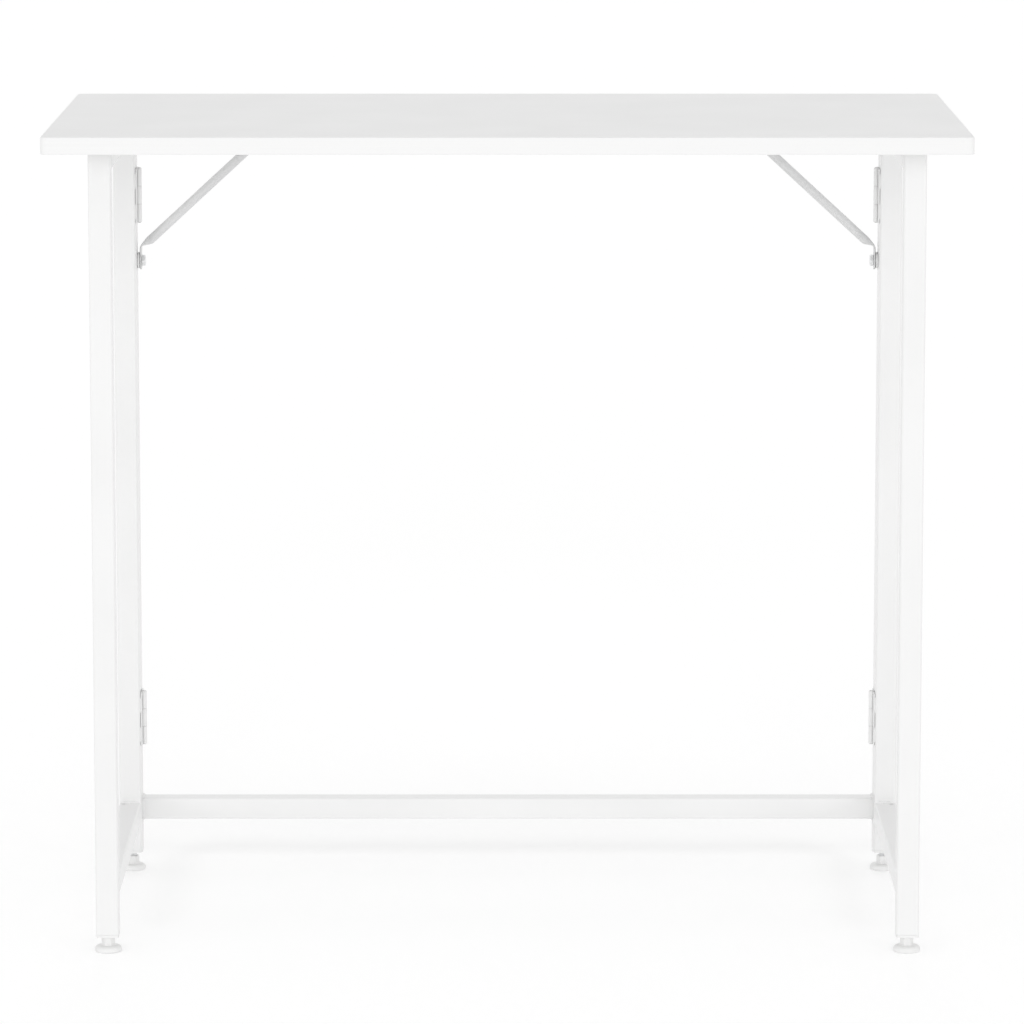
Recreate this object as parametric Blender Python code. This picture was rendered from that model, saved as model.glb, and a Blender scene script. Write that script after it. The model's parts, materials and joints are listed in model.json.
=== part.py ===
"""Folding desk: a rear frame, two side frames that fold against it and a top that tilts on two pivot bolts.

Metres, +Z up, the front towards -Y. The origin is on the floor under the middle of the top.
"""
import bmesh
import bpy
from math import asin, atan2, cos, hypot, pi, radians, sin, sqrt
from mathutils import Vector

# Top: a coated board with a plastic band round its edge
TOP_WIDTH = 0.800
TOP_DEPTH = 0.450
TOP_HEIGHT = 0.730
TOP_THICKNESS = 0.015
BOARD_CORNER_RADIUS = 0.0047
EDGE_BAND_THICKNESS = 0.001
EDGE_BAND_EASE = 0.0005

# Square tube of all three frames
TUBE_SIZE = 0.020
TUBE_WALL = 0.0012
TUBE_INNER_RADIUS = 0.0008

# Places of the frames under the top
SIDE_OVERHANG = 0.036
FRONT_OVERHANG = 0.066
REAR_OVERHANG = 0.025
FOLD_GAP = 0.002
BOTTOM_RAIL_HEIGHT = 0.050
CROSSBAR_HEIGHT = 0.050
TILT_GAP = 0.0006

# Gap between pieces that touch on the real desk
SEAT_GAP = 0.0003

# Caps in the upper tube ends and plugs in the lower ones
CAP_FLANGE = 0.0012
CAP_DEPTH = 0.012
PLUG_FLANGE = 0.002
PLUG_DEPTH = 0.025
STOPPER_EASE = 0.0005

# Levelling feet, and how far each tube's lower end stays above them
PAD_DIAMETER = 0.024
PAD_THICKNESS = 0.005
PAD_CHAMFER = 0.0012
COLLAR_RISE = 0.007
COLLAR_WALL = 0.0009
STEM_DIAMETER = 0.008
STEM_LENGTH = 0.040
STEM_SEAT = 0.006
LEG_LIFT = 0.002
UPRIGHT_LIFT = 0.006
STILE_LIFT = 0.010

# Butt hinges between stiles and uprights
HINGE_LENGTH = 0.050
UPPER_HINGE_DROP = 0.0497
LOWER_HINGE_RISE = 0.053
PIN_RADIUS = 0.0011
PIN_HEAD_LIP = 0.0007
PIN_HEAD_HEIGHT = 0.0006
LEAF_THICKNESS = 0.0011
LEAF_WIDTH = 0.015
KNUCKLE_GAP = 0.0004

# Pivot of the top, on both uprights
PIVOT_DROP = 0.037
BOLT_DIAMETER = 0.006
BOLT_HEAD_LIP = 0.002
BOLT_HEAD_HEIGHT = 0.0034
BOLT_HEAD_CHAMFER = 0.0007
BOLT_END = 0.002
NUT_HEIGHT = 0.005
SPACER_LIP = 0.0045
SPACER_THICKNESS = 0.0018

# Braces from the pivot to the underside of the top
BRACE_DIAMETER = 0.0082
BRACE_FLAT_THICKNESS = 0.0018
BRACE_TIP_LIP = 0.0052
BRACE_HEAD_GAP = 0.0077
BRACE_REACH = 0.136
BRACE_BLEND_LENGTH = 0.013
BRACE_SINK_SHARE = 0.6

# Screws through the braces' upper ends
SCREW_DIAMETER = 0.0035
SCREW_COVER = 0.004
SCREW_POINT = 0.003
SCREW_TIP_RADIUS = 0.0004
SCREW_HEAD_LIP = 0.00175
SCREW_HEAD_HEIGHT = 0.0022
SCREW_HEAD_CROWN = 0.0011
SCREW_OFFSET = 0.009
SCREW_SPACING = 0.013
SCREW_END = 0.008

# Points round a tube's corner, a round piece, a hexagon, the top's corner and a brace
CORNER_POINTS = 4
ROUND_POINTS = 4 * CORNER_POINTS
HEX_POINTS = 18
TOP_CORNER_POINTS = 6
BRACE_POINTS = 16

# Steps round a knuckle and across its seam, along a brace's blend and round its flat ends
ROLL_STEPS = 14
SEAM_STEPS = 3
BLEND_STEPS = 5
END_STEPS = 4
FLAT_SQUARENESS = 2
SMOOTH_ANGLE = radians(32)

# Worked out from the sizes above
UNDERSIDE = TOP_HEIGHT - TOP_THICKNESS
TOP_CORNER_RADIUS = BOARD_CORNER_RADIUS + SEAT_GAP + EDGE_BAND_THICKNESS
TUBE_INSIDE = TUBE_SIZE - 2 * TUBE_WALL
TUBE_CORNER_RADIUS = TUBE_INNER_RADIUS + TUBE_WALL
TUBE_AXIS_X = TOP_WIDTH / 2 - SIDE_OVERHANG - TUBE_SIZE / 2
INNER_FACE = TUBE_AXIS_X - TUBE_SIZE / 2
LEG_Y = -TOP_DEPTH / 2 + FRONT_OVERHANG + TUBE_SIZE / 2
UPRIGHT_Y = TOP_DEPTH / 2 - REAR_OVERHANG - TUBE_SIZE / 2
STILE_Y = UPRIGHT_Y - TUBE_SIZE - FOLD_GAP
RAIL_LENGTH = STILE_Y - LEG_Y - TUBE_SIZE - 2 * SEAT_GAP
COLLAR_HEIGHT = PAD_THICKNESS + COLLAR_RISE
COLLAR_ACROSS = STEM_DIAMETER + 2 * SEAT_GAP + 2 * COLLAR_WALL
KNUCKLE_RADIUS = PIN_RADIUS + SEAT_GAP + LEAF_THICKNESS
HINGE_X = INNER_FACE - SEAT_GAP - KNUCKLE_RADIUS
HINGE_Y = UPRIGHT_Y - TUBE_SIZE / 2 - FOLD_GAP / 2
FRAME_TOP = UNDERSIDE - SEAT_GAP
UPPER_HINGE_LOW = FRAME_TOP - UPPER_HINGE_DROP - HINGE_LENGTH
LOWER_HINGE_LOW = CROSSBAR_HEIGHT + TUBE_SIZE + LOWER_HINGE_RISE
PIVOT_HEIGHT = UPPER_HINGE_LOW - PIVOT_DROP
UPRIGHT_TOP = PIVOT_HEIGHT + sqrt((UNDERSIDE - PIVOT_HEIGHT - TILT_GAP) ** 2 - (TUBE_SIZE / 2) ** 2)
BOLT_HOLE_RADIUS = BOLT_DIAMETER / 2 + SEAT_GAP
BOLT_HEAD_ACROSS = BOLT_DIAMETER + 2 * BOLT_HEAD_LIP
TAB_INSET = SPACER_THICKNESS + 2 * SEAT_GAP
TAB_CENTRE_INSET = TAB_INSET + BRACE_FLAT_THICKNESS / 2
BOLT_HEAD_INSET = TAB_INSET + BRACE_FLAT_THICKNESS + SEAT_GAP
BRACE_TIP_LENGTH = BOLT_HOLE_RADIUS + BRACE_TIP_LIP
BRACE_BEND_RISE = BOLT_HEAD_ACROSS / sqrt(3) + BRACE_HEAD_GAP
BRACE_FOOT_LENGTH = SCREW_OFFSET + SCREW_SPACING + SCREW_END
BRACE_FOOT_HEIGHT = UNDERSIDE - SEAT_GAP - BRACE_FLAT_THICKNESS / 2
SCREW_SEAT = UNDERSIDE - 2 * SEAT_GAP - BRACE_FLAT_THICKNESS
SCREW_LENGTH = TOP_HEIGHT - SCREW_COVER - SCREW_SEAT
SCREW_HOLE_RADIUS = SCREW_DIAMETER / 2 + SEAT_GAP
SIDES = (("left", -1), ("right", 1))


def clear_scene():
    for item in list(bpy.data.objects):
        bpy.data.objects.remove(item, do_unlink=True)


def make_finish(name, colour, roughness, metallic):
    surface = bpy.data.materials.new(name)
    surface.use_nodes = True
    shader = surface.node_tree.nodes["Principled BSDF"]
    shader.inputs["Base Color"].default_value = (*colour, 1.0)
    shader.inputs["Roughness"].default_value = roughness
    shader.inputs["Metallic"].default_value = metallic
    return surface


def make_axis(name, position):
    """An empty on a joint's axis, which carries the pieces that move about it."""
    axis = bpy.data.objects.new(name, None)
    axis.location = position
    bpy.context.scene.collection.objects.link(axis)
    return axis


def square_ring(width, depth, radius, height, corner_points=CORNER_POINTS):
    """Points round a rectangle with arcs at its corners."""
    ring = []
    for corner in range(4):
        start = corner * pi / 2
        side_x = 1 if corner in (0, 3) else -1
        side_y = 1 if corner in (0, 1) else -1
        centre_x = side_x * (width / 2 - radius)
        centre_y = side_y * (depth / 2 - radius)
        for step in range(corner_points):
            angle = start + step * pi / 2 / (corner_points - 1)
            ring.append((centre_x + radius * cos(angle), centre_y + radius * sin(angle), height))
    return ring


def round_ring(radius, height, count=ROUND_POINTS):
    angles = [(step + 0.5) * 2 * pi / count for step in range(count)]
    return [(radius * cos(angle), radius * sin(angle), height) for angle in angles]


def hex_ring(across, height):
    """Points round a hexagon, as many as on the round ring that it meets."""
    ring = []
    for step in range(HEX_POINTS):
        turn = step * 2 * pi / HEX_POINTS
        radius = across / 2 / cos(turn % (pi / 3) - pi / 6)
        angle = turn + pi / HEX_POINTS
        ring.append((radius * cos(angle), radius * sin(angle), height))
    return ring


def add_skin(builder, rings, closed=False):
    """Faces from each ring to the next, with end faces or, if closed, back to the first ring."""
    loops = [[builder.verts.new(point) for point in ring] for ring in rings]
    pairs = list(zip(loops, loops[1:]))
    if closed:
        pairs.append((loops[-1], loops[0]))
    else:
        builder.faces.new(loops[0])
        builder.faces.new(loops[-1])
    for lower, upper in pairs:
        for here in range(len(lower)):
            after = (here + 1) % len(lower)
            builder.faces.new((lower[here], lower[after], upper[after], upper[here]))


def add_piece(name, builder, finish, position, parent=None, rotation=(0, 0, 0)):
    """An object from a finished mesh builder, placed in the desk's own frame."""
    bmesh.ops.recalc_face_normals(builder, faces=builder.faces)
    mesh = bpy.data.meshes.new(name)
    builder.to_mesh(mesh)
    builder.free()
    mesh.shade_smooth()
    mesh.set_sharp_from_angle(angle=SMOOTH_ANGLE)
    if finish:
        mesh.materials.append(finish)
    piece = bpy.data.objects.new(name, mesh)
    bpy.context.scene.collection.objects.link(piece)
    piece.location = position
    if parent:
        piece.parent = parent
        piece.location = Vector(position) - parent.location
    piece.rotation_euler = rotation
    return piece


def add_skinned_piece(name, rings, finish, position, parent=None, rotation=(0, 0, 0), closed=False):
    builder = bmesh.new()
    add_skin(builder, rings, closed)
    return add_piece(name, builder, finish, position, parent, rotation)


def cut_with(piece, cutter):
    """Takes the cutter's shape out of the piece and hides the cutter."""
    cut = piece.modifiers.new(cutter.name, "BOOLEAN")
    cut.operation = "DIFFERENCE"
    cut.solver = "EXACT"
    cut.object = cutter
    cutter.hide_render = True
    cutter.display_type = "WIRE"


def tube_ring(size, radius, height):
    return square_ring(size, size, radius, height)


def add_tube(name, length, finish, position, parent=None, rotation=(0, 0, 0)):
    """Hollow square tube along its own Z, from its origin up."""
    rings = [
        tube_ring(TUBE_SIZE, TUBE_CORNER_RADIUS, 0),
        tube_ring(TUBE_SIZE, TUBE_CORNER_RADIUS, length),
        tube_ring(TUBE_INSIDE, TUBE_INNER_RADIUS, length),
        tube_ring(TUBE_INSIDE, TUBE_INNER_RADIUS, 0),
    ]
    return add_skinned_piece(name, rings, finish, position, parent, rotation, closed=True)


def stopper_rings(flange, depth):
    """Outside of a stopper: its flange from 0 up to the tube's end, then its body inside the tube."""
    ease = min(STOPPER_EASE, flange / 2)
    body = TUBE_INSIDE - 2 * SEAT_GAP
    return [
        tube_ring(TUBE_SIZE - 2 * ease, TUBE_CORNER_RADIUS, 0),
        tube_ring(TUBE_SIZE, TUBE_CORNER_RADIUS, ease),
        tube_ring(TUBE_SIZE, TUBE_CORNER_RADIUS, flange),
        tube_ring(body, TUBE_INNER_RADIUS, flange),
        tube_ring(body, TUBE_INNER_RADIUS, flange + depth),
    ]


def add_cap(name, finish, position, parent=None):
    """Closes a tube's upper end: the flange's top is at the position."""
    rings = stopper_rings(CAP_FLANGE, CAP_DEPTH)
    return add_skinned_piece(name, rings, finish, position, parent, (pi, 0, 0))


def add_plug(name, finish, position, parent=None):
    """Closes a tube's lower end: the flange's underside is at the position."""
    return add_skinned_piece(name, stopper_rings(PLUG_FLANGE, PLUG_DEPTH), finish, position, parent)


def add_threaded_plug(name, finish, position, parent=None):
    """A plug with a bore for a foot's stem."""
    bore = STEM_DIAMETER / 2 + SEAT_GAP
    rings = stopper_rings(PLUG_FLANGE, PLUG_DEPTH)
    rings += [round_ring(bore, PLUG_FLANGE + PLUG_DEPTH), round_ring(bore, 0)]
    return add_skinned_piece(name, rings, finish, position, parent, closed=True)


def add_stopped_tube(name, x, y, lift, high, finish, stopper_finish, threaded, parent=None):
    """An upright tube with a plug below and a cap above; lift is its height over the feet's collars."""
    low = COLLAR_HEIGHT + lift
    tube_low = low + PLUG_FLANGE + SEAT_GAP
    tube_high = high - CAP_FLANGE - SEAT_GAP
    tube = add_tube(name, tube_high - tube_low, finish, (x, y, tube_low), parent)
    add_cap(name + "_cap", stopper_finish, (x, y, high), parent)
    if threaded:
        add_threaded_plug(name + "_plug", stopper_finish, (x, y, low), parent)
    else:
        add_plug(name + "_plug", stopper_finish, (x, y, low), parent)
    return tube


def add_foot(name, x, y, plastic, steel):
    """Levelling foot: a pad with a hexagonal collar, on a stem that screws into the tube's plug."""
    pad_radius = PAD_DIAMETER / 2
    socket_radius = STEM_DIAMETER / 2 + SEAT_GAP
    socket_floor = COLLAR_HEIGHT - STEM_SEAT
    axis = make_axis(name, (x, y, 0))
    rings = [
        round_ring(pad_radius - PAD_CHAMFER, 0, HEX_POINTS),
        round_ring(pad_radius, PAD_CHAMFER, HEX_POINTS),
        round_ring(pad_radius, PAD_THICKNESS - PAD_CHAMFER, HEX_POINTS),
        round_ring(pad_radius - PAD_CHAMFER, PAD_THICKNESS, HEX_POINTS),
        hex_ring(COLLAR_ACROSS, PAD_THICKNESS),
        hex_ring(COLLAR_ACROSS, COLLAR_HEIGHT),
        round_ring(socket_radius, COLLAR_HEIGHT, HEX_POINTS),
        round_ring(socket_radius, socket_floor, HEX_POINTS),
    ]
    flat_to_front = (0, 0, -pi / HEX_POINTS)
    add_skinned_piece(name + "_pad", rings, plastic, (x, y, 0), axis, flat_to_front)
    stem_radius = STEM_DIAMETER / 2
    stem_low = socket_floor + SEAT_GAP
    rings = [round_ring(stem_radius, 0), round_ring(stem_radius, STEM_LENGTH)]
    add_skinned_piece(name + "_stem", rings, steel, (x, y, stem_low), axis)


def knuckle_spans():
    """Lower and upper ends of the hinge's three knuckles."""
    length = (HINGE_LENGTH - 2 * KNUCKLE_GAP) / 3
    pitch = length + KNUCKLE_GAP
    return [(place * pitch, place * pitch + length) for place in range(3)]


def add_leaf(name, spans, side, direction, finish, position, parent=None):
    """Hinge leaf: a plate along the tube's face, rolled into a knuckle over each span.

    In the leaf's own section, u runs from the pin's axis along the plate and w towards the desk's inside.
    """
    builder = bmesh.new()
    bore = PIN_RADIUS + SEAT_GAP
    outside = -KNUCKLE_RADIUS
    inside = outside + LEAF_THICKNESS
    edge = KNUCKLE_RADIUS + KNUCKLE_GAP
    plate = [(edge, outside), (LEAF_WIDTH, outside), (LEAF_WIDTH, inside), (edge, inside)]
    roll_start = -pi / 2
    roll_end = asin(inside / KNUCKLE_RADIUS) - 2 * pi
    turn = (roll_end - roll_start) / ROLL_STEPS
    seam_turn = (roll_start - 2 * pi - roll_end) / SEAM_STEPS
    roll = [roll_start + step * turn for step in range(ROLL_STEPS + 1)]
    seam = [roll_end + step * seam_turn for step in range(1, SEAM_STEPS)]
    levels = sorted({0.0, HINGE_LENGTH} | {height for span in spans for height in span})

    def corner_at(u, w, height):
        return builder.verts.new((-side * w, direction * u, height))

    plate_rows = [[corner_at(u, w, height) for u, w in plate] for height in levels]
    builder.faces.new(plate_rows[0])
    builder.faces.new(plate_rows[-1])
    for row, low in enumerate(levels[:-1]):
        rolled = any(abs(low - span[0]) < SEAT_GAP / 2 for span in spans)
        for here in range(3 if rolled else 4):
            after = (here + 1) % 4
            lower = plate_rows[row]
            upper = plate_rows[row + 1]
            builder.faces.new((lower[here], lower[after], upper[after], upper[here]))
    for span in spans:
        sections = []
        for height in span:
            row = plate_rows[levels.index(height)]
            outer = [corner_at(KNUCKLE_RADIUS * cos(a), KNUCKLE_RADIUS * sin(a), height) for a in roll]
            inner = [corner_at(bore * cos(a), bore * sin(a), height) for a in roll + seam]
            sections.append((row, outer, inner))
            for here in range(ROLL_STEPS):
                builder.faces.new((outer[here], outer[here + 1], inner[here + 1], inner[here]))
            throat = [outer[-1], row[3], row[0], outer[0], inner[0]]
            builder.faces.new(throat + inner[:ROLL_STEPS - 1:-1])
        low_row, low_outer, low_inner = sections[0]
        high_row, high_outer, high_inner = sections[1]
        low_path = [low_row[0]] + low_outer + [low_row[3]]
        high_path = [high_row[0]] + high_outer + [high_row[3]]
        for here in range(len(low_path) - 1):
            builder.faces.new((low_path[here], low_path[here + 1], high_path[here + 1], high_path[here]))
        for here in range(len(low_inner)):
            after = (here + 1) % len(low_inner)
            builder.faces.new((low_inner[here], low_inner[after], high_inner[after], high_inner[here]))
    return add_piece(name, builder, finish, position, parent)


def add_hinge(name, side, low, finish, leg_axis):
    """Butt hinge: the frame leaf has the outer knuckles, the leg leaf the middle one."""
    head_radius = PIN_RADIUS + PIN_HEAD_LIP
    position = (side * HINGE_X, HINGE_Y, low)
    lower, middle, upper = knuckle_spans()
    add_leaf(name + "_frame_leaf", [lower, upper], side, 1, finish, position)
    add_leaf(name + "_leg_leaf", [middle], side, -1, finish, position, leg_axis)
    head_low = -SEAT_GAP
    head_high = HINGE_LENGTH + SEAT_GAP
    rings = [
        round_ring(head_radius, head_low - PIN_HEAD_HEIGHT),
        round_ring(head_radius, head_low),
        round_ring(PIN_RADIUS, head_low),
        round_ring(PIN_RADIUS, head_high),
        round_ring(head_radius, head_high),
        round_ring(head_radius, head_high + PIN_HEAD_HEIGHT),
    ]
    add_skinned_piece(name + "_pin", rings, finish, position)


def add_bolt_drill(name, side, distance, reach):
    """Cutter for a pivot bolt's hole, to both sides of a face at a distance from the desk's middle."""
    rings = [round_ring(BOLT_HOLE_RADIUS, end, HEX_POINTS) for end in (-reach, reach)]
    position = (side * distance, UPRIGHT_Y, PIVOT_HEIGHT)
    return add_skinned_piece(name, rings, None, position, rotation=(0, side * pi / 2, 0))


def add_side_frame(word, side, paint, plastic):
    """Front leg, rear stile and two rails, carried by the hinge axis that they fold about."""
    axis = make_axis(word + "_side_frame_axis", (side * HINGE_X, HINGE_Y, 0))
    x = side * TUBE_AXIS_X
    add_stopped_tube(word + "_front_leg", x, LEG_Y, LEG_LIFT, FRAME_TOP, paint, plastic, True, axis)
    add_stopped_tube(word + "_rear_stile", x, STILE_Y, STILE_LIFT, FRAME_TOP, paint, plastic, False, axis)
    rail_y = LEG_Y + TUBE_SIZE / 2 + SEAT_GAP
    along_depth = (-pi / 2, 0, 0)
    top_z = FRAME_TOP - TUBE_SIZE / 2
    bottom_z = BOTTOM_RAIL_HEIGHT + TUBE_SIZE / 2
    add_tube(word + "_top_rail", RAIL_LENGTH, paint, (x, rail_y, top_z), axis, along_depth)
    add_tube(word + "_bottom_rail", RAIL_LENGTH, paint, (x, rail_y, bottom_z), axis, along_depth)
    return axis


def add_rear_frame(paint, plastic):
    """Two uprights with a hole for the pivot bolt in the inner wall, and the crossbar between them."""
    for word, side in SIDES:
        x = side * TUBE_AXIS_X
        name = word + "_rear_upright"
        upright = add_stopped_tube(name, x, UPRIGHT_Y, UPRIGHT_LIFT, UPRIGHT_TOP, paint, plastic, True)
        cut_with(upright, add_bolt_drill(word + "_bolt_hole", side, INNER_FACE, 2 * TUBE_WALL))
    bar_x = INNER_FACE - SEAT_GAP
    bar_z = CROSSBAR_HEIGHT + TUBE_SIZE / 2
    add_tube("rear_crossbar", 2 * bar_x, paint, (-bar_x, UPRIGHT_Y, bar_z), rotation=(0, pi / 2, 0))


def add_pivot(word, side, steel, plastic):
    """Pivot bolt, its nut inside the upright and the spacer between brace and upright."""
    outwards = (0, side * pi / 2, 0)
    bolt_x = side * (INNER_FACE - BOLT_HEAD_INSET)
    radius = BOLT_DIAMETER / 2
    nut_low = TUBE_WALL + SEAT_GAP
    shank = BOLT_HEAD_INSET + nut_low + NUT_HEIGHT + BOLT_END
    rings = [
        round_ring(BOLT_HEAD_ACROSS / 2, -BOLT_HEAD_HEIGHT, HEX_POINTS),
        hex_ring(BOLT_HEAD_ACROSS, -BOLT_HEAD_HEIGHT + BOLT_HEAD_CHAMFER),
        hex_ring(BOLT_HEAD_ACROSS, 0),
        round_ring(radius, 0, HEX_POINTS),
        round_ring(radius, shank, HEX_POINTS),
    ]
    bolt = word + "_pivot_bolt"
    add_skinned_piece(bolt, rings, steel, (bolt_x, UPRIGHT_Y, PIVOT_HEIGHT), rotation=outwards)
    rings = [
        hex_ring(BOLT_HEAD_ACROSS, 0),
        hex_ring(BOLT_HEAD_ACROSS, NUT_HEIGHT),
        round_ring(BOLT_HOLE_RADIUS, NUT_HEIGHT, HEX_POINTS),
        round_ring(BOLT_HOLE_RADIUS, 0, HEX_POINTS),
    ]
    nut_place = (side * (INNER_FACE + nut_low), UPRIGHT_Y, PIVOT_HEIGHT)
    nut = word + "_pivot_nut"
    add_skinned_piece(nut, rings, steel, nut_place, rotation=outwards, closed=True)
    spacer_radius = radius + SPACER_LIP
    rings = [
        round_ring(spacer_radius, 0, HEX_POINTS),
        round_ring(spacer_radius, SPACER_THICKNESS, HEX_POINTS),
        round_ring(BOLT_HOLE_RADIUS, SPACER_THICKNESS, HEX_POINTS),
        round_ring(BOLT_HOLE_RADIUS, 0, HEX_POINTS),
    ]
    spacer_place = (side * (INNER_FACE - SEAT_GAP - SPACER_THICKNESS), UPRIGHT_Y, PIVOT_HEIGHT)
    spacer = word + "_pivot_spacer"
    add_skinned_piece(spacer, rings, plastic, spacer_place, rotation=outwards, closed=True)


def brace_stations():
    """Centre line of a brace with its half thickness and half width, from the tip to the upper end.

    Each station is (inward, upward, slope, half thickness, half width, mitre), with lengths from the pivot.
    A flattened tube keeps its girth, so its half width follows from its half thickness. The flat ends lie
    nearer to the tube's upper side, so the round length sinks below the line between the two bends.
    """
    radius = BRACE_DIAMETER / 2
    flat = BRACE_FLAT_THICKNESS / 2

    def half_width(half_thickness):
        return half_thickness + (radius - half_thickness) * pi / 2

    wide = half_width(flat)
    reach = BRACE_REACH - TAB_CENTRE_INSET
    rise = BRACE_FOOT_HEIGHT - PIVOT_HEIGHT
    slope = atan2(rise - BRACE_BEND_RISE, reach)
    length = hypot(rise - BRACE_BEND_RISE, reach)
    round_end = [step * pi / 2 / END_STEPS for step in range(1, END_STEPS + 1)]
    stations = []
    for angle in round_end:
        upward = -BRACE_TIP_LENGTH + wide * (1 - cos(angle))
        stations.append((0, upward, pi / 2, flat, wide * sin(angle), 1))
    lower_mitre = 1 / cos((pi / 2 - slope) / 2)
    stations.append((0, BRACE_BEND_RISE, (pi / 2 + slope) / 2, flat, wide, lower_mitre))
    shares = [step / BLEND_STEPS for step in range(1, BLEND_STEPS + 1)]
    blends = [(BRACE_BLEND_LENGTH * share, share) for share in shares]
    blends += [(length - BRACE_BLEND_LENGTH * share, share) for share in reversed(shares)]
    for along, share in blends:
        eased = share * share * (3 - 2 * share)
        thickness = flat + (radius - flat) * eased
        sink = BRACE_SINK_SHARE * (thickness - flat)
        inward = along * cos(slope) + sink * sin(slope)
        upward = BRACE_BEND_RISE + along * sin(slope) - sink * cos(slope)
        stations.append((inward, upward, slope, thickness, half_width(thickness), 1))
    stations.append((reach, rise, slope / 2, flat, wide, 1 / cos(slope / 2)))
    for angle in reversed(round_end):
        inward = reach + BRACE_FOOT_LENGTH - wide * (1 - cos(angle))
        stations.append((inward, rise, 0, flat, wide * sin(angle), 1))
    return stations


def brace_ring(side, inward, upward, slope, thickness, width, mitre):
    """Section of a brace: round where it is as thick as wide, squarer the flatter it is."""
    flatness = 1 - thickness / (BRACE_DIAMETER / 2)
    power = 1 / (1 + FLAT_SQUARENESS * flatness)
    ring = []
    for step in range(BRACE_POINTS):
        angle = step * 2 * pi / BRACE_POINTS
        across = abs(cos(angle)) ** power * (1 if cos(angle) > 0 else -1) * thickness * mitre
        along_y = abs(sin(angle)) ** power * (1 if sin(angle) > 0 else -1) * width
        ring.append((-side * (inward - across * sin(slope)), along_y, upward + across * cos(slope)))
    return ring


def screw_places():
    """Distances of the screws from the inner face of the frame."""
    return [BRACE_REACH + SCREW_OFFSET, BRACE_REACH + SCREW_OFFSET + SCREW_SPACING]


def add_holes(name, low, high, places):
    """Upright cutters for the screws' holes, one at each place."""
    builder = bmesh.new()
    for x, y in places:
        rings = [round_ring(SCREW_HOLE_RADIUS, low), round_ring(SCREW_HOLE_RADIUS, high)]
        add_skin(builder, [[(px + x, py + y, pz) for px, py, pz in ring] for ring in rings])
    return add_piece(name, builder, None, (0, 0, 0))


def add_brace(word, side, paint, steel, axis):
    """Brace with an eye in its lower flat end and screw holes in its upper one, and its two screws."""
    rings = [brace_ring(side, *station) for station in brace_stations()]
    tab_x = side * (INNER_FACE - TAB_CENTRE_INSET)
    brace = add_skinned_piece(word + "_brace", rings, paint, (tab_x, UPRIGHT_Y, PIVOT_HEIGHT), axis)
    eye_distance = INNER_FACE - TAB_CENTRE_INSET
    cut_with(brace, add_bolt_drill(word + "_brace_eye", side, eye_distance, BRACE_FLAT_THICKNESS))
    places = [(side * (INNER_FACE - inward), UPRIGHT_Y) for inward in screw_places()]
    low = BRACE_FOOT_HEIGHT - BRACE_FLAT_THICKNESS
    high = BRACE_FOOT_HEIGHT + BRACE_FLAT_THICKNESS
    cut_with(brace, add_holes(word + "_brace_screw_holes", low, high, places))
    head_radius = SCREW_DIAMETER / 2 + SCREW_HEAD_LIP
    rings = [
        round_ring(head_radius - SCREW_HEAD_CROWN, -SCREW_HEAD_HEIGHT),
        round_ring(head_radius, -SCREW_HEAD_HEIGHT + SCREW_HEAD_CROWN),
        round_ring(head_radius, 0),
        round_ring(SCREW_DIAMETER / 2, 0),
        round_ring(SCREW_DIAMETER / 2, SCREW_LENGTH - SCREW_POINT),
        round_ring(SCREW_TIP_RADIUS, SCREW_LENGTH),
    ]
    for place, (x, y) in zip(("outer", "inner"), places):
        add_skinned_piece(word + "_brace_" + place + "_screw", rings, steel, (x, y, SCREW_SEAT), axis)


def top_ring(inwards, height):
    """The top's outline, moved inwards by a distance."""
    radius = TOP_CORNER_RADIUS - inwards
    return square_ring(TOP_WIDTH - 2 * inwards, TOP_DEPTH - 2 * inwards, radius, height, TOP_CORNER_POINTS)


def add_top(board_finish, band_finish, axis):
    """Board with blind holes for the braces' screws, and the band round its edge."""
    inset = EDGE_BAND_THICKNESS + SEAT_GAP
    board_rings = [top_ring(inset, UNDERSIDE), top_ring(inset, TOP_HEIGHT)]
    board = add_skinned_piece("tabletop_board", board_rings, board_finish, (0, 0, 0), axis)
    places = []
    for word, side in SIDES:
        places += [(side * (INNER_FACE - inward), UPRIGHT_Y) for inward in screw_places()]
    hole_top = SCREW_SEAT + SCREW_LENGTH + SEAT_GAP
    hole_bottom = UNDERSIDE - TOP_THICKNESS
    cut_with(board, add_holes("board_screw_holes", hole_bottom, hole_top, places))
    ease = min(EDGE_BAND_EASE, EDGE_BAND_THICKNESS / 2)
    band_rings = [
        top_ring(ease, UNDERSIDE),
        top_ring(0, UNDERSIDE + ease),
        top_ring(0, TOP_HEIGHT - ease),
        top_ring(ease, TOP_HEIGHT),
        top_ring(EDGE_BAND_THICKNESS, TOP_HEIGHT),
        top_ring(EDGE_BAND_THICKNESS, UNDERSIDE),
    ]
    add_skinned_piece("tabletop_edge_band", band_rings, band_finish, (0, 0, 0), axis, closed=True)


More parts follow.
